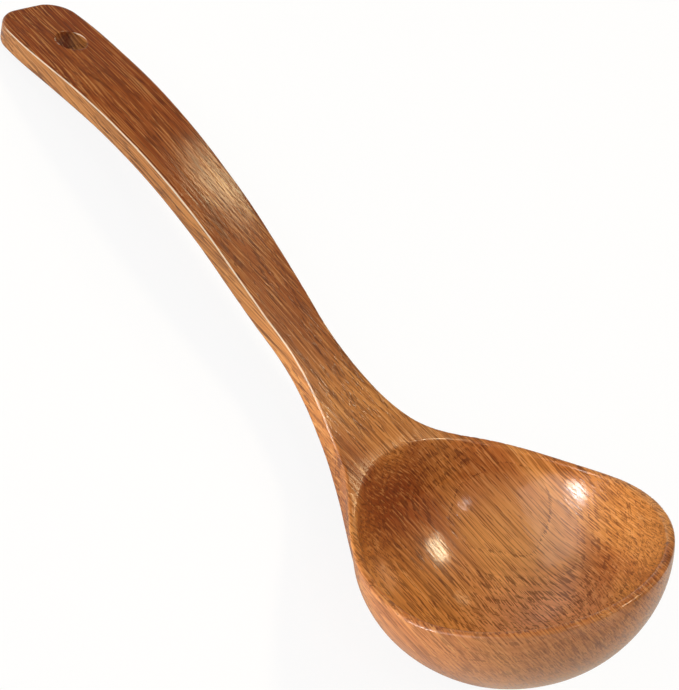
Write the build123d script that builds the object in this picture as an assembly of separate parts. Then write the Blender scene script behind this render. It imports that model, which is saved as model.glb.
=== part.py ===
from build123d import *
from math import atan, cos, degrees, radians, sin, sqrt
import os

# A wooden soup ladle, carved in one piece. All lengths are millimetres, all angles degrees.
# It is shaped with the bowl's rim level and the handle rising towards -X, the way it is carved,
# and then laid down on the table: on the back of its bowl and the end of its handle.

# The bowl: an egg-shaped shell, a little wider than it is long
bowl_half_length = 44.6
bowl_half_width = 46.5
bowl_depth = 38.5
bowl_shift = 0.4

# The hollow: a straight lip at the rim, then a rounded floor
rim_wall = 2.7
floor_wall = 5.0
hollow_lip = 1.0
hollow_edge_radius = 0.5

# The top surface in side view: level rim, shoulder, straight neck, arched grip, straight end
rim_level_length = 8.0
shoulder_radius = 75.0
neck_pitch = 54.5
neck_length = 59.0
arch_radius = 218.0
end_pitch = 33.0
end_length = 34.0

# The handle: a flat strip that flares into the bowl and widens towards its end
neck_half_width = 9.2
neck_beyond_shoulder = 23.7
grip_half_width = 14.8
grip_inset = 18.1
handle_thickness = 7.5
handle_corner_radius = 1.6
end_corner_radius = 8.5
end_inset = 2.0
arris_radius = 1.0

# The root, where the handle runs into the back of the bowl
root_distance = 36.0
root_half_width = 26.0
root_depth = 14.0

# The hanging hole, drilled square to the top surface and a little off the centre line
hole_radius = 5.0
hole_inset = 21.3
hole_offset = 2.0
hole_edge_radius = 0.4

# How far cutting shapes run past what they cut
overrun = 4.0

# From the root to the neck: place along the flare, and what is left of the root's extra width
flare_width_shares = (
    (0.000, 1.00),
    (0.085, 0.97),
    (0.170, 0.86),
    (0.255, 0.67),
    (0.356, 0.47),
    (0.458, 0.32),
    (0.576, 0.19),
    (0.763, 0.06),
    (1.000, 0.00),
)

# From the neck to the widest place: place along the grip, and the gain in width
grip_width_shares = ((0.113, 0.16), (0.263, 0.30), (0.451, 0.45), (0.677, 0.70), (0.880, 0.92), (1.0, 1.0))

half_share = 0.5

# How far out the middle of the rim's land lies, between its two rounded edges
rim_land_share = 0.37

shoulder_end = shoulder_radius * radians(neck_pitch)
neck_end = shoulder_end + neck_length
arch_end = neck_end + arch_radius * radians(neck_pitch - end_pitch)
handle_end = arch_end + end_length
neck_distance = shoulder_end + neck_beyond_shoulder
grip_distance = handle_end - grip_inset
hole_distance = handle_end - hole_inset


def top_point(distance):
    """X, Z and pitch of the top surface at a distance along it, counted from the rim's rear end."""
    if distance <= shoulder_end:
        pitch = degrees(distance / shoulder_radius)
        x = rim_level_length - shoulder_radius * sin(radians(pitch))
        return x, shoulder_radius * (1 - cos(radians(pitch))), pitch
    if distance <= neck_end:
        x, z, pitch = top_point(shoulder_end)
        run = distance - shoulder_end
        return x - run * cos(radians(pitch)), z + run * sin(radians(pitch)), pitch
    if distance <= arch_end:
        x, z, start_pitch = top_point(neck_end)
        pitch = start_pitch - degrees((distance - neck_end) / arch_radius)
        x -= arch_radius * (sin(radians(start_pitch)) - sin(radians(pitch)))
        z += arch_radius * (cos(radians(pitch)) - cos(radians(start_pitch)))
        return x, z, pitch
    x, z, pitch = top_point(arch_end)
    run = distance - arch_end
    return x - run * cos(radians(pitch)), z + run * sin(radians(pitch)), pitch


def top_place(distance):
    x, z, pitch = top_point(distance)
    return (x, z)


def under_place(distance, depth):
    """X and Z of the place at a depth under the top surface, measured square to it."""
    x, z, pitch = top_point(distance)
    return (x - depth * sin(radians(pitch)), z - depth * cos(radians(pitch)))


def below_top_surface():
    """Everything under the top surface, which is the same line in side view all the way across."""
    front = bowl_shift + bowl_half_length + overrun
    bottom = -bowl_depth - overrun
    beyond = handle_end + handle_thickness + overrun
    far_x, far_z = top_place(beyond)
    with BuildSketch(Plane.XZ) as outline:
        with BuildLine():
            Line((front, 0), (rim_level_length, 0))
            ThreePointArc(top_place(0), top_place(shoulder_end * half_share), top_place(shoulder_end))
            Line(top_place(shoulder_end), top_place(neck_end))
            arch_middle = (neck_end + arch_end) * half_share
            ThreePointArc(top_place(neck_end), top_place(arch_middle), top_place(arch_end))
            Line(top_place(arch_end), (far_x, far_z))
            Polyline((far_x, far_z), (far_x, bottom), (front, bottom), (front, 0))
        make_face()
    return extrude(outline.sketch, bowl_half_width + overrun, both=True)


def handle_outline():
    """The handle seen from above: flared at the root, narrow at the neck, widening to the grip."""
    side = []
    for place_share, width_share in flare_width_shares:
        distance = root_distance + (neck_distance - root_distance) * place_share
        half_width = neck_half_width + (root_half_width - neck_half_width) * width_share
        side.append((top_place(distance)[0], half_width))
    for place_share, width_share in grip_width_shares:
        distance = neck_distance + (grip_distance - neck_distance) * place_share
        half_width = neck_half_width + (grip_half_width - neck_half_width) * width_share
        side.append((top_place(distance)[0], half_width))
    side.append((top_place(handle_end + handle_thickness)[0], grip_half_width - end_inset))
    other = [(x, -y) for x, y in side]
    with BuildSketch() as outline:
        with BuildLine():
            Spline(*side)
            Spline(*other)
            Line(side[0], other[0])
            Line(side[-1], other[-1])
        make_face()
    low, high = -bowl_depth, top_place(handle_end)[1] + overrun
    return Pos(0, 0, low) * extrude(outline.sketch, high - low)


def handle_side_view():
    """The handle seen from the side: one thickness all along, but deeper at the root."""
    arch_middle = (neck_end + arch_end) * half_share
    root_middle = (root_distance + shoulder_end) * half_share
    with BuildSketch(Plane.XZ) as profile:
        with BuildLine():
            ThreePointArc(top_place(root_distance), top_place(root_middle), top_place(shoulder_end))
            Line(top_place(shoulder_end), top_place(neck_end))
            ThreePointArc(top_place(neck_end), top_place(arch_middle), top_place(arch_end))
            Line(top_place(arch_end), top_place(handle_end))
            Line(top_place(handle_end), under_place(handle_end, handle_thickness))
            Line(under_place(handle_end, handle_thickness), under_place(arch_end, handle_thickness))
            ThreePointArc(
                under_place(arch_end, handle_thickness),
                under_place(arch_middle, handle_thickness),
                under_place(neck_end, handle_thickness),
            )
            Line(under_place(neck_end, handle_thickness), under_place(shoulder_end, handle_thickness))
            TangentArc(
                under_place(shoulder_end, handle_thickness),
                under_place(root_distance, root_depth),
                tangent=(cos(radians(neck_pitch)), -sin(radians(neck_pitch))),
            )
            Line(under_place(root_distance, root_depth), top_place(root_distance))
        make_face()
    return extrude(profile.sketch, root_half_width + overrun, both=True)


def arrises(faces):
    """The outer edges of a run of faces: those that only one of them has."""
    edges = [edge for face in faces for edge in face.edges()]
    return [edge for edge in edges if sum(edge.is_same(other) for other in edges) == 1]


def round_top(body):
    """Rounds the edges all round the top surface: the faces that are level across the ladle and look up."""
    plain = body.faces().filter_by(GeomType.PLANE) + body.faces().filter_by(GeomType.CYLINDER)
    upward = [face for face in plain if face.normal_at().Z > 0]
    top = [face for face in upward if face.normal_at().X + face.normal_at().Z > 0]
    return body.fillet(arris_radius, arrises(top))


def egg_form(half_length, half_width, depth, lip):
    """Half an egg with straight walls above it. Its walls start below the rim's level by the lip."""
    high = top_place(neck_end)[1]
    with BuildSketch(Plane.XZ) as half:
        with BuildLine():
            Line((0, -depth), (0, high))
            Line((0, high), (half_width, high))
            Line((half_width, high), (half_width, -lip))
            EllipticalCenterArc((0, -lip), half_width, depth - lip, start_angle=270, arc_size=90)
        make_face()
    return Pos(bowl_shift, 0, 0) * scale(revolve(half.sketch, Axis.Z), by=(half_length / half_width, 1, 1))


def bowl():
    """The bowl, cut off at the top surface and hollowed, with both edges of its rim rounded."""
    egg = egg_form(bowl_half_length, bowl_half_width, bowl_depth, 0)
    full = round_top((egg & below_top_surface()).solids()[0])
    hollow = egg_form(
        bowl_half_length - rim_wall, bowl_half_width - rim_wall, bowl_depth - floor_wall, hollow_lip
    )
    hollowed = full - hollow
    return hollowed.solids()[0].fillet(hollow_edge_radius, new_edges(full, hollow, combined=hollowed))


def handle():
    """The handle, with round corners at its end and rounded edges above and below."""
    strip = (handle_side_view() & handle_outline()).solids()[0]
    end = strip.faces().filter_by(GeomType.PLANE).sort_by(Axis.X)[0]
    strip = round_top(strip.fillet(end_corner_radius, end.edges().sort_by(SortBy.LENGTH)[:2]))
    downward = [face for face in strip.faces() if face.normal_at().Z < 0 and face.normal_at().X < 0]
    level = [face for face in downward if abs(face.normal_at().Y) < abs(face.normal_at().Z)]
    return strip.fillet(handle_corner_radius, arrises(level)) - inside_rim()


def inside_rim():
    """The space inside the middle of the rim, where the handle's root stops."""
    half_length = bowl_half_length - rim_wall + rim_land_share * rim_wall
    half_width = bowl_half_width - rim_wall + rim_land_share * rim_wall
    tall = top_place(neck_end)[1] + bowl_depth
    core = extrude(Ellipse(half_length, half_width), tall)
    return Pos(bowl_shift, 0, -bowl_depth) * core


def hanging_hole():
    """The drilled hole, wider at both faces where its edges are rounded."""
    wide = hole_radius + hole_edge_radius
    bottom = -handle_thickness
    with BuildSketch(Plane.XZ) as half:
        with BuildLine():
            Polyline((wide, 0), (wide, overrun), (0, overrun), (0, bottom - overrun))
            Polyline((0, bottom - overrun), (wide, bottom - overrun), (wide, bottom))
            RadiusArc((wide, bottom), (hole_radius, bottom + hole_edge_radius), -hole_edge_radius)
            Line((hole_radius, bottom + hole_edge_radius), (hole_radius, -hole_edge_radius))
            RadiusArc((hole_radius, -hole_edge_radius), (wide, 0), -hole_edge_radius)
        make_face()
    x, z, pitch = top_point(hole_distance)
    upright = Rot(0, pitch, 0) * revolve(half.sketch, Axis.Z)
    return Pos(x, hole_offset, z) * upright


def resting_pitch():
    """How far the ladle tips back from its carving pose until the bowl's back and the handle's end touch."""
    x, z, pitch = top_point(handle_end)
    foot_x = x - handle_thickness * sin(radians(pitch)) - bowl_shift
    foot_z = z - handle_thickness * cos(radians(pitch))
    square = foot_x * foot_x - bowl_half_length * bowl_half_length
    middle = foot_z * foot_x
    rest = foot_z * foot_z - bowl_depth * bowl_depth
    return degrees(atan((middle - sqrt(middle * middle - square * rest)) / square))


def laid_down(ladle):
    """The ladle tipped back until it rests, with the middle of its footprint at the origin."""
    resting = Rot(0, resting_pitch(), 0) * ladle
    room = resting.bounding_box()
    return Pos(-room.center().X, -room.center().Y, -room.min.Z) * resting


ladle = (bowl() + handle() - hanging_hole()).solids()[0]
ladle = laid_down(ladle)
ladle.label = "carved_ladle"

os.makedirs("parts", exist_ok=True)
export_step(ladle, "parts/carved_ladle.step")
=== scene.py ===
from math import atan, cos, hypot, radians, sin, sqrt

import bpy
import numpy as np
from mathutils import Euler, Matrix, Vector


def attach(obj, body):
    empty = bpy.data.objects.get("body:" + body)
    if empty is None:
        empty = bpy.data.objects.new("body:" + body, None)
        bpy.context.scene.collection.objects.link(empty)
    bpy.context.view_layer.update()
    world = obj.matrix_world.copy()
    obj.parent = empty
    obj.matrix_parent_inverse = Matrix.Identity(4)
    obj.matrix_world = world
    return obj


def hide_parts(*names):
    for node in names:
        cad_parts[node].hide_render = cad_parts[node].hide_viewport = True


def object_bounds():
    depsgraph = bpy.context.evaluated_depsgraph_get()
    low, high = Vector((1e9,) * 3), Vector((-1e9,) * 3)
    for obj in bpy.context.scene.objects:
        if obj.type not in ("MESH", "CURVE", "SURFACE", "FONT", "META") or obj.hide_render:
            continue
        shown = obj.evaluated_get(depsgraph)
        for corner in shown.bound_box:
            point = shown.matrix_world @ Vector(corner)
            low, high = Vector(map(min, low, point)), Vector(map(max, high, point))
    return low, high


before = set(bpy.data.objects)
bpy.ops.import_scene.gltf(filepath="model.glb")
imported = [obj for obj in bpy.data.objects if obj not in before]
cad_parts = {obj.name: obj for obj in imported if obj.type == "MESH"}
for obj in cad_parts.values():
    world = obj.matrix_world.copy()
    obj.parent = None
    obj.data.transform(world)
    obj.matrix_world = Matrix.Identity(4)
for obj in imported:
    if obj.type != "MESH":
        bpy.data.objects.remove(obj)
solid_low, solid_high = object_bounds()

# A lacquered wooden soup ladle, carved in one piece, lying on a table.
# Its sizes follow the solid's, in millimetres, in the pose in which it is carved:
# rim level, X towards the pouring lip, the middle of the rim at the origin.
metre = 0.001

# Half an egg for the bowl, and a smaller one for its hollow. Below a fullness of 2 the walls lean in more
bowl_half_length = 44.6
bowl_half_width = 46.5
bowl_depth = 38.5
bowl_shift = 0.4
bowl_fullness = 1.86

rim_wall = 2.7
floor_wall = 5.0
hollow_lip = 0.3
hollow_fullness = 1.4
hollow_edge_radius = 0.7

# The line along the middle of the top: level at the rim, up the shoulder and neck, over the arch to the end
rim_level_length = 8.0
shoulder_radius = 75.0
neck_pitch = radians(54.5)
neck_length = 59.0
arch_radius = 218.0
end_pitch = radians(33.0)
end_length = 34.0

neck_half_width = 9.2
neck_beyond_shoulder = 23.7
grip_half_width = 14.8
grip_inset = 18.1
handle_thickness = 7.5
handle_corner_radius = 1.6
end_corner_radius = 8.5
end_inset = 2.0
end_crown = 0.35
arris_radius = 0.9
top_crown = 0.15

root_distance = 36.0
root_half_width = 26.0
root_depth = 14.0
root_inside_bowl = 30.0

# How wide the crease between handle and bowl is filled: at the top surface, and from some depth under it
crease_fill_top = 4.5
crease_fill_under = 6.5
crease_fill_depth = 7.0

hole_radius = 5.0
hole_inset = 21.3
hole_offset = 2.0
hole_edge_radius = 0.5
hole_neighbourhood = 20.0

# Waves left by carving and sanding: height, turn in each millimetre along X, Y and Z, and start
hand_waves = (
    (0.030, (0.11, 0.17, -0.08), 1.0),
    (0.022, (-0.19, 0.09, 0.16), 2.2),
    (0.014, (0.27, -0.21, 0.12), 0.4),
)

# Place along the flare from root to neck, and what is left there of the root's extra width
flare_width_shares = (
    (0.000, 1.00),
    (0.085, 0.97),
    (0.170, 0.86),
    (0.255, 0.71),
    (0.356, 0.53),
    (0.458, 0.37),
    (0.576, 0.23),
    (0.763, 0.08),
    (1.000, 0.00),
)

# Place along the grip from the neck to the widest place, and the gain in width there
grip_width_shares = ((0.113, 0.16), (0.263, 0.30), (0.451, 0.45), (0.677, 0.70), (0.880, 0.92), (1.0, 1.0))

# How many places the line of half widths is worked out at
line_samples = 700

# How far out of the hollow, in wall thicknesses, the surface begins to count as the bowl's outside
outside_start = 0.5

# How far apart the mesh's points lie, and how many spacings the grid reaches past the solid's box
full_spacing = 0.755
mesh_spacing = full_spacing
net_margin = 2

# How the net is evened out: how often, how far each point goes to the middle of its neighbours,
# how often it is then set back on the surface, and the least square of a slope to divide by
mesh_evenings = 3
evening_share = 0.6
settling_turns = 2
least_square_slope = 0.25

# How far aside the distance is measured to find the way out of the wood
slope_step = 0.03

# The four cells round a grid edge that leaves the wood, and round one that enters it, in facing order
ring_leaving = ((1, 1), (0, 1), (0, 0), (1, 0))
ring_entering = ((1, 1), (1, 0), (0, 0), (0, 1))

shoulder_end = shoulder_radius * neck_pitch
neck_end = shoulder_end + neck_length
arch_end = neck_end + arch_radius * (neck_pitch - end_pitch)
handle_end = arch_end + end_length
neck_distance = shoulder_end + neck_beyond_shoulder
grip_distance = handle_end - grip_inset
hole_distance = handle_end - hole_inset


def top_point(distance):
    """X, Z and pitch of the top line, at a distance along it from the level rim's rear end."""
    if distance <= shoulder_end:
        pitch = distance / shoulder_radius
        return rim_level_length - shoulder_radius * sin(pitch), shoulder_radius * (1 - cos(pitch)), pitch
    if distance <= neck_end:
        x, z, pitch = top_point(shoulder_end)
        run = distance - shoulder_end
        return x - run * cos(pitch), z + run * sin(pitch), pitch
    if distance <= arch_end:
        x, z, start = top_point(neck_end)
        pitch = start - (distance - neck_end) / arch_radius
        back = arch_radius * (sin(start) - sin(pitch))
        rise = arch_radius * (cos(pitch) - cos(start))
        return x - back, z + rise, pitch
    x, z, pitch = top_point(arch_end)
    run = distance - arch_end
    return x - run * cos(pitch), z + run * sin(pitch), pitch


def along_top(x, z):
    """For points in side view: their distance along the top line, and their height over it."""
    shoulder_x, shoulder_z = top_point(shoulder_end)[:2]
    neck_x, neck_z = top_point(neck_end)[:2]
    arch_x, arch_z = top_point(arch_end)[:2]

    back = rim_level_length - x
    fits = [(np.minimum(back, 0), z, back <= 0)]

    turn = np.arctan2(back, shoulder_radius - z)
    height = shoulder_radius - np.hypot(back, shoulder_radius - z)
    fits.append((turn * shoulder_radius, height, (turn >= 0) & (turn <= neck_pitch)))

    run = (z - shoulder_z) * sin(neck_pitch) - (x - shoulder_x) * cos(neck_pitch)
    height = (x - shoulder_x) * sin(neck_pitch) + (z - shoulder_z) * cos(neck_pitch)
    fits.append((shoulder_end + run, height, (run >= 0) & (run <= neck_length)))

    centre_x = neck_x - arch_radius * sin(neck_pitch)
    centre_z = neck_z - arch_radius * cos(neck_pitch)
    turn = np.arctan2(x - centre_x, z - centre_z)
    run = (neck_pitch - turn) * arch_radius
    height = np.hypot(x - centre_x, z - centre_z) - arch_radius
    fits.append((neck_end + run, height, (turn <= neck_pitch) & (turn >= end_pitch)))

    run = (z - arch_z) * sin(end_pitch) - (x - arch_x) * cos(end_pitch)
    height = (x - arch_x) * sin(end_pitch) + (z - arch_z) * cos(end_pitch)
    fits.append((arch_end + run, height, run >= 0))

    distance = np.zeros_like(x)
    above = np.full(x.shape, np.inf)
    for new_distance, new_above, fitting in fits:
        nearer = fitting & (np.abs(new_above) < np.abs(above))
        distance = np.where(nearer, new_distance, distance)
        above = np.where(nearer, new_above, above)
    return distance, above


def smooth_line(at, value):
    """A smooth line through values at places: many places along it, and its values there."""
    slope = np.gradient(value, at)
    fine = np.linspace(at[0], at[-1], line_samples)
    left = np.clip(np.searchsorted(at, fine, side="right") - 1, 0, len(at) - 2)
    gap = at[left + 1] - at[left]
    t = (fine - at[left]) / gap
    line = (2 * t**3 - 3 * t**2 + 1) * value[left] + (3 * t**2 - 2 * t**3) * value[left + 1]
    line += ((t**3 - 2 * t**2 + t) * slope[left] + (t**3 - t**2) * slope[left + 1]) * gap
    return fine, line


def half_width_line():
    """Places along the handle, its half widths there as a smooth line, and how square its sides stand."""
    places = []
    for place_share, width_share in flare_width_shares:
        half_width = neck_half_width + (root_half_width - neck_half_width) * width_share
        places.append((root_distance + (neck_distance - root_distance) * place_share, half_width))
    for place_share, width_share in grip_width_shares:
        half_width = neck_half_width + (grip_half_width - neck_half_width) * width_share
        places.append((neck_distance + (grip_distance - neck_distance) * place_share, half_width))
    places.append((handle_end + handle_thickness, grip_half_width - end_inset))
    fine, line = smooth_line(*np.array(places).T)
    return fine, line, 1 / np.hypot(1, np.gradient(line, fine))


width_places, width_line, side_squareness = half_width_line()


def overlap(a, b, radius):
    """The overlap of two shapes, with the edge where they meet rounded."""
    outer = np.hypot(np.maximum(a + radius, 0), np.maximum(b + radius, 0))
    return np.minimum(np.maximum(a, b), -radius) + outer


def grown_together(a, b, fill):
    """Two shapes as one, with the crease between them filled over a width."""
    share = np.clip(0.5 + 0.5 * (b - a) / fill, 0, 1)
    return b + (a - b) * share - fill * share * (1 - share)


# Keeps the distance to an egg from being divided by zero at its middle
tiny = 1e-9


def egg_distance(x, y, z, half_length, half_width, depth, fullness):
    """About how far points lie outside half an egg that has straight walls above it."""
    below = np.maximum(-z, 0)
    place = (x / half_length)**2 + (y / half_width)**2 + (below / depth)**fullness
    along = fullness * (below / depth)**(fullness - 1) / depth
    slope = np.sqrt((2 * x / half_length**2)**2 + (2 * y / half_width**2)**2 + along**2)
    return 2 * np.sqrt(place) * (np.sqrt(place) - 1) / np.maximum(slope, tiny)


def hand_finish(x, y, z):
    """The slight waviness left by carving and sanding by hand. It only ever takes wood away."""
    taken = 0
    for height, (turn_x, turn_y, turn_z), start in hand_waves:
        taken = taken + height * (1 + np.sin(turn_x * x + turn_y * y + turn_z * z + start))
    return taken


def ladle_distance(points):
    """How far points in the carving pose lie outside the ladle; below zero they are in the wood."""
    x, y, z = points.T
    distance, above = along_top(x, z)

    half_width = np.interp(distance, width_places, width_line)
    square = np.interp(distance, width_places, side_squareness)
    to_shoulder = np.maximum(shoulder_end - distance, 0) / (shoulder_end - root_distance)
    depth = handle_thickness + (root_depth - handle_thickness) * to_shoulder**2
    end = distance - handle_end + end_crown * (y / grip_half_width)**2
    plan = overlap((np.abs(y) - half_width) * square, end, end_corner_radius)
    handle = overlap(plan, -above - depth, handle_corner_radius)
    handle = np.maximum(handle, root_inside_bowl - distance)

    bowl = egg_distance(x - bowl_shift, y, z, bowl_half_length, bowl_half_width, bowl_depth, bowl_fullness)
    under = np.clip(-above / crease_fill_depth, 0, 1)
    fill = crease_fill_top + (crease_fill_under - crease_fill_top) * under
    past_root = np.clip((distance - root_distance) / root_distance, 0, 1)
    crown = top_crown * np.clip(y / half_width, -1, 1)**2 * past_root
    wood = overlap(grown_together(bowl, handle, fill), above + crown, arris_radius)

    hollow = egg_distance(
        x - bowl_shift,
        y,
        z + hollow_lip,
        bowl_half_length - rim_wall,
        bowl_half_width - rim_wall,
        bowl_depth - floor_wall - hollow_lip,
        hollow_fullness,
    )
    wood = overlap(wood, -hollow, hollow_edge_radius)

    hole = np.hypot(distance - hole_distance, y - hole_offset) - hole_radius
    hole = np.where(distance > hole_distance - hole_neighbourhood, hole, hole_neighbourhood)
    return overlap(wood, -hole, hole_edge_radius) + hand_finish(x, y, z)


def bowl_outside(points):
    """How far, from 0 to 1, points on the surface in the carving pose belong to the bowl's outside."""
    x, y, z = points.T
    distance = along_top(x, z)[0]
    length, width = bowl_half_length - rim_wall, bowl_half_width - rim_wall
    from_hollow = egg_distance(x - bowl_shift, y, z, length, width, bowl_depth - floor_wall, bowl_fullness)
    before_handle = np.clip((root_distance - distance) / rim_level_length, 0, 1)
    return np.clip(from_hollow / rim_wall - outside_start, 0, 1) * before_handle


def resting_pitch():
    """How far the ladle tips back from its carving pose until the bowl's back and the handle's end touch."""
    x, z, pitch = top_point(handle_end)
    foot_x = x - handle_thickness * sin(pitch) - bowl_shift
    foot_z = z - handle_thickness * cos(pitch)
    square = foot_x * foot_x - bowl_half_length * bowl_half_length
    middle = foot_z * foot_x
    constant = foot_z * foot_z - bowl_depth * bowl_depth
    return atan((middle - sqrt(middle * middle - square * constant)) / square)


rest = resting_pitch()
laid_down = np.array([[cos(rest), 0, sin(rest)], [0, 1, 0], [-sin(rest), 0, cos(rest)]])

# Where the middle of the rim lies: the bowl's lip touches the solid's far end, and its back the table
lip_reach = hypot(bowl_half_length * cos(rest), bowl_depth * sin(rest)) + bowl_shift * cos(rest)
bowl_lift = hypot(bowl_half_length * sin(rest), bowl_depth * cos(rest)) + bowl_shift * sin(rest)
rim_middle = np.array([solid_high[0] / metre - lip_reach, 0, bowl_lift])


def on_table(points):
    """Points of the carving pose, in the pose in which the ladle lies, in millimetres."""
    return points @ laid_down.T + rim_middle


def table_distance(points):
    """How far points in the lying pose are outside the ladle."""
    return ladle_distance((points - rim_middle) @ laid_down)


def outward(points):
    """Distance outside the ladle at points in the lying pose, and the way straight out of the wood there."""
    here = table_distance(points)
    way = np.empty_like(points)
    for axis in range(3):
        aside = points.copy()
        aside[:, axis] += slope_step
        way[:, axis] = (table_distance(aside) - here) / slope_step
    return here, way


def distance_grid(low, high, spacing):
    """The first corner of a grid round the ladle, and the distance outside the ladle at all its corners."""
    start = low - net_margin * spacing
    stop = high + (net_margin + 1) * spacing
    axes = [np.arange(start[i], stop[i], spacing) for i in range(3)]
    shape = tuple(len(axis) for axis in axes)
    across = np.stack(np.meshgrid(axes[1], axes[2], indexing="ij"), -1).reshape(-1, 2)
    field = np.empty(shape)
    for i, x in enumerate(axes[0]):
        slab = np.column_stack([np.full(len(across), x), across])
        field[i] = table_distance(slab).reshape(shape[1:])
    return start, field


def pairs_along(axis, aside):
    """Two parts of a grid that pair each corner with the next along an axis, over a slice of the others."""
    first = [aside] * 3
    second = [aside] * 3
    first[axis] = slice(None, -1)
    second[axis] = slice(1, None)
    return tuple(first), tuple(second)


def surface_points(field):
    """The number of each cell that the surface crosses, and the middle of the crossings there, in cells."""
    cells = tuple(length - 1 for length in field.shape)
    total = np.zeros(cells + (3,))
    crossings = np.zeros(cells)
    for axis in range(3):
        first, second = pairs_along(axis, slice(None))
        near, far = field[first], field[second]
        cut = (near < 0) != (far < 0)
        share = np.where(cut, near / np.where(cut, near - far, 1), 0)
        u, v = [other for other in range(3) if other != axis]
        for a in (0, 1):
            for b in (0, 1):
                part = [slice(None)] * 3
                part[u] = slice(a, a + cells[u])
                part[v] = slice(b, b + cells[v])
                hit = cut[tuple(part)]
                crossings += hit
                total[..., axis] += share[tuple(part)] * hit
                total[..., u] += a * hit
                total[..., v] += b * hit

    used = crossings > 0
    number = np.full(cells, -1)
    number[used] = np.arange(used.sum())
    corner = np.stack(np.nonzero(used), -1)
    return number, corner + total[used] / crossings[used][:, None]


def surface_faces(inside, number):
    """A four-sided face for each grid edge that the surface crosses, from the four cells round that edge."""
    faces = []
    for axis in range(3):
        first, second = pairs_along(axis, slice(1, -1))
        leaving = inside[first] & ~inside[second]
        entering = ~inside[first] & inside[second]
        u, v = (axis + 1) % 3, (axis + 2) % 3
        for crossing, ways in ((leaving, ring_leaving), (entering, ring_entering)):
            at = np.stack(np.nonzero(crossing), -1)
            at[:, u] += 1
            at[:, v] += 1
            ring = []
            for a, b in ways:
                cell = at.copy()
                cell[:, u] -= a
                cell[:, v] -= b
                ring.append(number[tuple(cell.T)])
            faces.append(np.stack(ring, -1))
    return np.concatenate(faces)


def surface_net(low, high, spacing):
    """Points and four-sided faces all over the ladle, from the cells of a grid that its surface crosses."""
    start, field = distance_grid(low, high, spacing)
    number, places = surface_points(field)
    return start + places * spacing, surface_faces(field < 0, number)


def evened_out(points, faces):
    """The net's points spread evenly, and set back on the ladle's surface."""
    ends = np.concatenate([faces[:, [i, (i + 1) % 4]] for i in range(4)])
    ends = np.concatenate([ends, ends[:, ::-1]])
    count = np.bincount(ends[:, 0], minlength=len(points))[:, None]
    for _ in range(mesh_evenings):
        middle = np.zeros_like(points)
        for axis in range(3):
            middle[:, axis] = np.bincount(ends[:, 0], points[ends[:, 1], axis], len(points))
        points = (1 - evening_share) * points + evening_share * middle / count
        for _ in range(settling_turns):
            here, way = outward(points)
            points = points - way * (here / np.maximum((way**2).sum(1), least_square_slope))[:, None]
    return points


def resting_height(points):
    """The table's height under each point, where the handle's end and the bowl's back both touch it."""
    handle = points[points[:, 0] < 0]
    bowl = points[points[:, 0] > 0]
    foot = handle[handle[:, 2].argmin()]
    back = bowl[bowl[:, 2].argmin()]
    return foot[2] + (points[:, 0] - foot[0]) * (back[2] - foot[2]) / (back[0] - foot[0])


def carved_wood(name):
    """The whole ladle as one closed mesh, lying on the table, with the shape's own normals."""
    low = np.array(solid_low) / metre
    high = np.array(solid_high) / metre
    points, faces = surface_net(low, high, mesh_spacing)
    points = evened_out(points, faces)
    way = outward(points)[1]
    way /= np.linalg.norm(way, axis=1, keepdims=True)
    outside = bowl_outside((points - rim_middle) @ laid_down)
    points[:, 2] -= resting_height(points)

    mesh = bpy.data.meshes.new(name)
    mesh.from_pydata((points * metre).tolist(), [], faces.tolist())
    mesh.validate()
    mesh.shade_smooth()
    mesh.normals_split_custom_set_from_vertices(way.tolist())
    shares = mesh.attributes.new("outside", "FLOAT", "POINT")
    shares.data.foreach_set("value", outside.astype(np.float32))
    piece = bpy.data.objects.new(name, mesh)
    bpy.context.scene.collection.objects.link(piece)
    return piece


class Nodes:
    """A material's or the world's nodes, added one at a time with their inputs."""

    def __init__(self, tree):
        self.tree = tree
        tree.nodes.clear()

    def add(self, kind, inputs=None, **settings):
        """A new node with its settings, each input linked to a socket or set to a value."""
        made = self.tree.nodes.new(kind)
        for setting, value in settings.items():
            setattr(made, setting, value)
        for socket, value in (inputs or {}).items():
            if isinstance(value, bpy.types.NodeSocket):
                self.tree.links.new(value, made.inputs[socket])
            else:
                made.inputs[socket].default_value = value
        return made

    def math(self, operation, a, b=0.0, c=0.0):
        """One number worked out from up to three."""
        return self.add("ShaderNodeMath", {0: a, 1: b, 2: c}, operation=operation).outputs[0]

    def measure(self, operation, a, b):
        """One number worked out from two vectors."""
        return self.add("ShaderNodeVectorMath", {0: a, 1: b}, operation=operation).outputs["Value"]

    def stretched(self, place, scale):
        """A place with each of its axes stretched."""
        return self.add("ShaderNodeMapping", {"Vector": place, "Scale": scale}).outputs[0]

    def noise(self, place, scale, detail, roughness):
        """A cloudy pattern, from 0 to 1, stretched along each axis."""
        place = self.stretched(place, scale)
        fed = {"Vector": place, "Scale": 1.0, "Detail": detail, "Roughness": roughness}
        return self.add("ShaderNodeTexNoise", fed).outputs[0]

    def between(self, value, low, high, to_low=0.0, to_high=1.0):
        """A ramp with soft ends: to_low where the value is low, to_high where it is high."""
        fed = {"Value": value, "From Min": low, "From Max": high, "To Min": to_low, "To Max": to_high}
        return self.add("ShaderNodeMapRange", fed, interpolation_type="SMOOTHSTEP").outputs[0]

    def mixed(self, share, a, b):
        """Colour a, with this share of colour b over it."""
        return self.add("ShaderNodeMix", {0: share, 6: a, 7: b}, data_type="RGBA").outputs[2]

    def relief(self, height, strength, depth):
        """The normal of a surface that rises and sinks with a height."""
        fed = {"Strength": strength, "Distance": depth, "Height": height}
        return self.add("ShaderNodeBump", fed).outputs[0]


def paint(red, green, blue):
    """A colour as a screen shows it, from 0 to 255, as light."""
    shown = [value / 255 for value in (red, green, blue)]
    light = [value / 12.92 if value <= 0.04045 else ((value + 0.055) / 1.055)**2.4 for value in shown]
    return (*light, 1.0)


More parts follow.
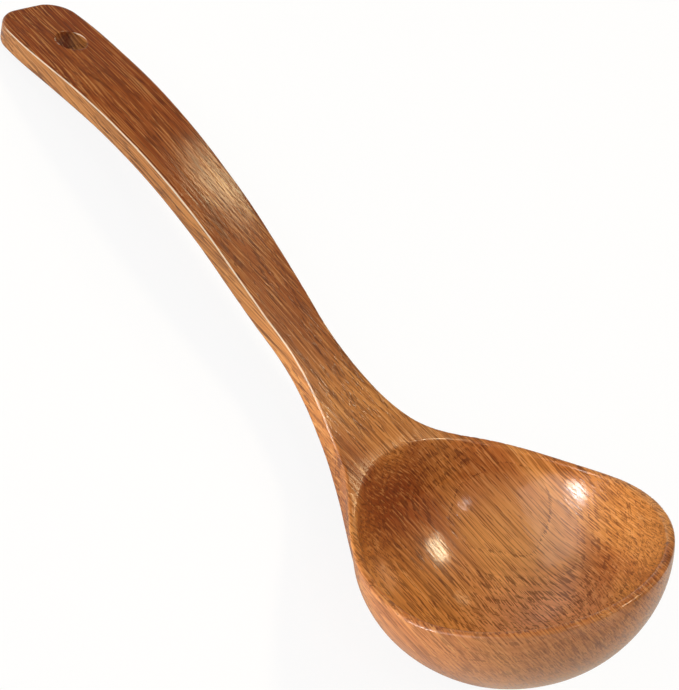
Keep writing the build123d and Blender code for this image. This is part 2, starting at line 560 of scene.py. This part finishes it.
golden = paint(214, 142, 70)
chestnut = paint(188, 112, 54)
mahogany = paint(134, 60, 22)
dark = paint(88, 38, 18)
pale = paint(236, 176, 108)
# A paler sapwood colour, painted on the handle's front-facing side: partly sapwood, partly painted light
sapwood_and_painted_light = paint(226, 152, 80)
tan = paint(226, 162, 106)
# A pale colour painted along the handle's upper edges as a highlight
edge_highlight_paint = paint(255, 236, 206)

# The grain's own axes as the ladle lies: along the fibres, across the growth lines, and through the layers
grain_ways = ((0.992, 0.050, 0.115), (-0.116, 0.721, 0.683), (-0.049, -0.691, 0.721))

# How far the grain wanders across and through, in millimetres
wander_across = 9.0
wander_through = 20.0

# Growth layers in each millimetre, and how slowly and how strongly their spacing varies
layers_each_millimetre = 0.20
spacing_wave = 0.11
spacing_variety = 2.5

# Patterns in the wood: how fine they are in each millimetre along the three axes, their detail and roughness
wander_pattern = ((0.010, 0.028, 0.028), 1.5, 0.45)
heart_pattern = ((0.010, 0.05, 0.02), 1.0, 0.5)
fibre_pattern = ((0.018, 2.2, 0.24), 1.6, 0.55)
streak_pattern = ((0.008, 0.30, 0.12), 2.5, 0.6)
pore_pattern = ((0.15, 2.6, 0.44), 1.0, 0.4)
ripple_pattern = ((0.14, 0.9, 0.6), 1.5, 0.5)

# Ramps: where each begins and ends, and what it gives there
late_rise = (0.25, 0.95, 0.0, 1.0)
late_fall = (1.0, 0.97, 0.0, 1.0)
pore_crowding = (0.60, 0.10, 0.0, 0.14)
pore_edge = (0.61, 0.69, 0.0, 1.0)
marks_on_outside = (0.0, 1.0, 1.0, 0.35)
golden_ground = (0.40, 0.60, 0.0, 1.0)
handle_heartwood = (0.30, 0.60, 0.96, 0.82)
# How the handle's side that faces the front is painted paler, from its facing: sapwood hue and painted light
sapwood_on_lit_side = (-0.45, -0.85, 0.0, 0.80)
tan_outside = (0.0, 1.0, 0.0, 0.55)
golden_streaks = (0.52, 0.72, 0.0, 0.20)
dark_streaks = (0.28, 0.47, 0.30, 0.0)
dark_fibres = (0.34, 0.50, 0.52, 0.0)
pale_fibres = (0.52, 0.68, 0.0, 0.38)
# The painted edge highlight: where it begins and ends, and how the streaks break it up
painted_edge_highlight = (0.37, 0.49, 0.0, 0.82)
edge_highlight_streaks = (0.30, 0.50, 0.45, 1.0)
wood_roughness = (0.3, 0.7, 0.40, 0.54)

# How strongly late wood and pores show
late_redness = 0.20
pore_darkness = 0.66

# The handle is darker heartwood as far as this place along the grain, and it fades out beyond
heart_end = 5.0
heart_fade = 45.0

# Places where the wood is darker, redder or paler: middle, reach, colour and strength
spot_core = 0.2
colour_spots = (
    ((62.0, -4.0, 17.0), 32.0, paint(128, 54, 24), 0.85),
    ((100.0, 26.0, 16.0), 30.0, paint(240, 172, 98), 0.9),
    ((120.0, 6.0, 24.0), 28.0, paint(244, 170, 114), 0.9),
    ((52.0, 0.0, 24.0), 16.0, paint(226, 150, 74), 0.5),
)

# Relief in the wood and in the coat: how much pores, fibres and ripples rise, its strength and its depth
wood_pore_rise = -0.6
wood_fibre_rise = 0.5
wood_relief = (0.35, 0.12 * metre)
coat_pore_rise = -0.22
coat_ripple_rise = 0.8
coat_relief = (0.5, 0.16 * metre)

wood_shine = 0.15
coat_weight = 0.8
# The coat is a little stronger where the edge highlight is painted
coat_on_edge_highlight = 0.2
coat_roughness = 0.16


def wood_grain(nodes, place):
    """Place along the grain, the bent grain's own space, and how far a point is through its growth layer."""
    along, across, through = [nodes.measure("DOT_PRODUCT", place, way) for way in grain_ways]
    wander = nodes.noise(place, *wander_pattern)
    across = nodes.math("MULTIPLY_ADD", wander, wander_across, across)
    through = nodes.math("MULTIPLY_ADD", wander, wander_through, through)
    grain = nodes.add("ShaderNodeCombineXYZ", {0: along, 1: across, 2: through}).outputs[0]
    fed = {"W": nodes.math("MULTIPLY", through, spacing_wave), "Detail": 1.0}
    uneven = nodes.add("ShaderNodeTexNoise", fed, noise_dimensions="1D").outputs[0]
    layers = nodes.math("MULTIPLY", through, layers_each_millimetre)
    season = nodes.math("FRACT", nodes.math("MULTIPLY_ADD", uneven, spacing_variety, layers))
    return along, grain, season


def broad_colour(nodes, place, grain, on_handle, facing, outside):
    """Heartwood on the handle, with paler sapwood and painted light on its side that faces the front; paler
    and darker places, and a tan bowl outside.
    """
    heart = nodes.noise(grain, *heart_pattern)
    colour = nodes.mixed(nodes.between(heart, *golden_ground), chestnut, golden)
    top = nodes.math("MULTIPLY", on_handle, nodes.between(heart, *handle_heartwood))
    colour = nodes.mixed(top, colour, mahogany)
    # Painted light: the handle's side that faces the front and the great window is painted paler, partly as
    # a sapwood hue
    near = nodes.math("MULTIPLY", on_handle, nodes.between(facing["Y"], *sapwood_on_lit_side))
    colour = nodes.mixed(near, colour, sapwood_and_painted_light)
    for spot_place, spot_size, spot_paint, spot_share in colour_spots:
        away = nodes.measure("DISTANCE", place, spot_place)
        spot = nodes.between(away, spot_size, spot_size * spot_core, 0.0, spot_share)
        colour = nodes.mixed(spot, colour, spot_paint)
    return nodes.mixed(nodes.between(outside, *tan_outside), colour, tan)


def lacquered_wood():
    """Red-brown hardwood with dark pores along its grain and a painted highlight along the handle's upper
    edges, under a clear coat.
    """
    wood = bpy.data.materials.new("lacquered hardwood")
    wood.use_nodes = True
    nodes = Nodes(wood.node_tree)
    where = nodes.add("ShaderNodeTexCoord").outputs
    facing = nodes.add("ShaderNodeSeparateXYZ", {0: where["Normal"]}).outputs
    place = nodes.stretched(where["Object"], (1 / metre, 1 / metre, 1 / metre))
    outside = nodes.add("ShaderNodeAttribute", attribute_name="outside").outputs["Fac"]
    along, grain, season = wood_grain(nodes, place)
    on_handle = nodes.between(along, heart_end + heart_fade, heart_end)

    # Late wood closes each growth layer. Fibres and pores are long and thin; pores crowd in the early wood
    late = nodes.math("MULTIPLY", nodes.between(season, *late_rise), nodes.between(season, *late_fall))
    fibres = nodes.noise(grain, *fibre_pattern)
    streaks = nodes.noise(grain, *streak_pattern)
    pores = nodes.math("ADD", nodes.noise(grain, *pore_pattern), nodes.between(season, *pore_crowding))
    pores = nodes.between(pores, *pore_edge)
    strength = nodes.between(outside, *marks_on_outside)

    # Streaks, late wood, fibres and pores over the broad colours
    colour = broad_colour(nodes, place, grain, on_handle, facing, outside)
    colour = nodes.mixed(nodes.between(streaks, *golden_streaks), colour, golden)
    colour = nodes.mixed(nodes.math("MULTIPLY", late, late_redness), colour, mahogany)
    colour = nodes.mixed(nodes.between(streaks, *dark_streaks), colour, dark)
    thin = nodes.math("MULTIPLY", strength, nodes.between(fibres, *dark_fibres))
    colour = nodes.mixed(thin, colour, dark)
    light = nodes.math("MULTIPLY", strength, nodes.between(fibres, *pale_fibres))
    colour = nodes.mixed(light, colour, pale)
    pitted = nodes.math("MULTIPLY", pores, nodes.math("MULTIPLY", strength, pore_darkness))
    colour = nodes.mixed(pitted, colour, dark)

    # Painted highlight: the handle's upper edges are painted pale along the line where top and side meet,
    # where the lacquer would gleam
    sideways = nodes.math("ABSOLUTE", facing["Y"])
    upwards = nodes.math("MAXIMUM", facing["Z"], 0.0)
    edge = nodes.between(nodes.math("MULTIPLY", sideways, upwards), *painted_edge_highlight)
    edge_highlight = nodes.math("MULTIPLY", on_handle, edge)
    edge_highlight = nodes.math("MULTIPLY", edge_highlight, nodes.between(streaks, *edge_highlight_streaks))
    colour = nodes.mixed(edge_highlight, colour, edge_highlight_paint)

    # Pores are sunk under the lacquer, and the lacquer follows them softly
    height = nodes.math("MULTIPLY", fibres, wood_fibre_rise)
    height = nodes.math("MULTIPLY_ADD", pores, wood_pore_rise, height)
    ripple = nodes.math("MULTIPLY", nodes.noise(grain, *ripple_pattern), coat_ripple_rise)
    coat_height = nodes.math("MULTIPLY_ADD", pores, coat_pore_rise, ripple)

    surface = nodes.add(
        "ShaderNodeBsdfPrincipled",
        {
            "Base Color": colour,
            "Roughness": nodes.between(fibres, *wood_roughness),
            "Normal": nodes.relief(height, *wood_relief),
            "Specular IOR Level": wood_shine,
            "Coat Weight": nodes.math("MULTIPLY_ADD", edge_highlight, coat_on_edge_highlight, coat_weight),
            "Coat Roughness": coat_roughness,
            "Coat Normal": nodes.relief(coat_height, *coat_relief),
        },
    )
    nodes.add("ShaderNodeOutputMaterial", {0: surface.outputs[0]})
    return wood


# The table top, in metres, and how white the camera sees it
table_half = 3.0
table_grey = 0.8
table_roughness = 0.9
table_shine = 0.1
table_glow = 1.05
table_glow_share = 0.85


def pale_floor():
    """A plain white table top, with a soft shadow where the ladle keeps the light off it."""
    mesh = bpy.data.meshes.new("floor")
    corners = [(x * table_half, y * table_half, 0) for x, y in ((-1, -1), (1, -1), (1, 1), (-1, 1))]
    mesh.from_pydata(corners, [], [(0, 1, 2, 3)])
    floor = bpy.data.objects.new("floor", mesh)
    bpy.context.scene.collection.objects.link(floor)

    white = bpy.data.materials.new("white table")
    white.use_nodes = True
    nodes = Nodes(white.node_tree)
    plain = {
        "Base Color": (table_grey, table_grey, table_grey, 1),
        "Roughness": table_roughness,
        "Specular IOR Level": table_shine,
    }
    matt = nodes.add("ShaderNodeBsdfPrincipled", plain)
    lit = nodes.add("ShaderNodeEmission", {"Color": (1, 1, 1, 1), "Strength": table_glow})
    seen = nodes.add("ShaderNodeLightPath").outputs["Is Camera Ray"]
    share = nodes.math("MULTIPLY", seen, table_glow_share)
    both = nodes.add("ShaderNodeMixShader", {0: share, 1: matt.outputs[0], 2: lit.outputs[0]})
    nodes.add("ShaderNodeOutputMaterial", {0: both.outputs[0]})
    mesh.materials.append(white)
    return floor


# The room's light on the wood, and what the lacquer mirrors of it: ramps from the walls up to a dim ceiling,
# and from the front to a dim back wall
room_light = 0.38
walls_to_ceiling = (0.15, 0.45, 0.8, 0.06)
front_to_back = (0.25, 0.55, 1.0, 0.08)


def white_room():
    """The room: plain white to the camera, and white walls with a dim ceiling and back in the lacquer."""
    world = bpy.data.worlds.new("room")
    world.use_nodes = True
    nodes = Nodes(world.node_tree)
    way = nodes.add("ShaderNodeTexCoord").outputs["Generated"]
    facing = nodes.add("ShaderNodeSeparateXYZ", {0: way}).outputs
    rays = nodes.add("ShaderNodeLightPath").outputs
    height = nodes.between(facing["Z"], *walls_to_ceiling)
    walls = nodes.math("MULTIPLY", height, nodes.between(facing["Y"], *front_to_back))
    extra = nodes.math("SUBTRACT", walls, room_light)
    strength = nodes.math("MULTIPLY_ADD", rays["Is Glossy Ray"], extra, room_light)
    strength = nodes.math("MAXIMUM", strength, rays["Is Camera Ray"])
    light = nodes.add("ShaderNodeBackground", {"Color": (1, 1, 1, 1), "Strength": strength})
    nodes.add("ShaderNodeOutputWorld", {0: light.outputs[0]})
    bpy.context.scene.world = world


# Light colours, and the places by the ladle that the lamps look at, in metres
white_light = (1, 1, 1)
warm_light = (1.0, 0.84, 0.55)
amber_light = (1.0, 0.80, 0.45)
over_shoulder = (0.06, 0, 0.03)
handle_arch = (-0.038, 0.005, 0.027)
bowl_far_wall = (0.095, 0.043, 0.037)


def soft_window(
    name,
    way,
    distance,
    size,
    power,
    colour=white_light,
    target=over_shoulder,
    spread=180,
    long_side=(1, 0, 0),
):
    """A rectangular lamp that looks at a place from a direction. Its distance and size are in metres."""
    lamp = bpy.data.lights.new(name, "AREA")
    lamp.shape = "RECTANGLE"
    lamp.size, lamp.size_y = size
    lamp.energy = power
    lamp.color = colour
    lamp.spread = radians(spread)
    window = bpy.data.objects.new(name, lamp)
    way = Vector(way).normalized()
    window.location = Vector(target) + way * distance
    side = Vector(long_side)
    side = (side - way * side.dot(way)).normalized()
    window.rotation_euler = Matrix((side, way.cross(side), way)).transposed().to_euler()
    window.visible_camera = False
    bpy.context.scene.collection.objects.link(window)


# The camera, in the carving pose: its place in millimetres and its three turns in degrees.
# Its reach is the focal length, counted in the photograph's pixels
image_size = (679, 690)
camera_reach = 1250.0
camera_place = (184.6, -250.3, 187.6)
camera_turns = (68.34, 7.88, 40.75)
sensor_width = 36.0
nearest_seen = 0.01


def photograph_camera():
    """The camera that sees the lying ladle as the photograph does."""
    lens = bpy.data.cameras.new("camera")
    lens.sensor_fit = "AUTO"
    lens.sensor_width = sensor_width
    lens.lens = sensor_width * camera_reach / max(image_size)
    lens.clip_start = nearest_seen
    camera = bpy.data.objects.new("camera", lens)
    camera.location = Vector(on_table(np.array(camera_place))) * metre
    turned = np.array(Euler([radians(angle) for angle in camera_turns], "XYZ").to_matrix())
    camera.rotation_euler = Matrix(laid_down @ turned).to_euler()
    bpy.context.scene.collection.objects.link(camera)
    bpy.context.scene.camera = camera


wood = lacquered_wood()
ladle = carved_wood("ladle")
ladle.data.materials.append(wood)
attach(ladle, "root")
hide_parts("carved_ladle")

pale_floor()
white_room()

# Two windows high over the ladle, a great one in front of it, and two small lamps for the brightest gleams
soft_window("high window", (0.07, 0.44, 0.89), 1.2, (0.22, 0.22), 5.2, warm_light)
soft_window("great window", (-0.50, -0.80, 0.34), 1.6, (2.0, 1.3), 15.0)
soft_window("side window", (0.28, -0.19, 0.94), 1.4, (0.12, 0.12), 0.8)
soft_window(
    "handle lamp",
    (-0.31, 0.67, 0.67),
    0.5,
    (0.25, 0.036),
    0.0070,
    amber_light,
    target=handle_arch,
    spread=22,
    long_side=(0.94, 0, 0.33),
)
soft_window("bowl lamp", (-0.42, -0.90, -0.07), 0.2, (0.12, 0.042), 0.013, target=bowl_far_wall, spread=25)
photograph_camera()

bpy.context.scene.view_settings.view_transform = "Standard"
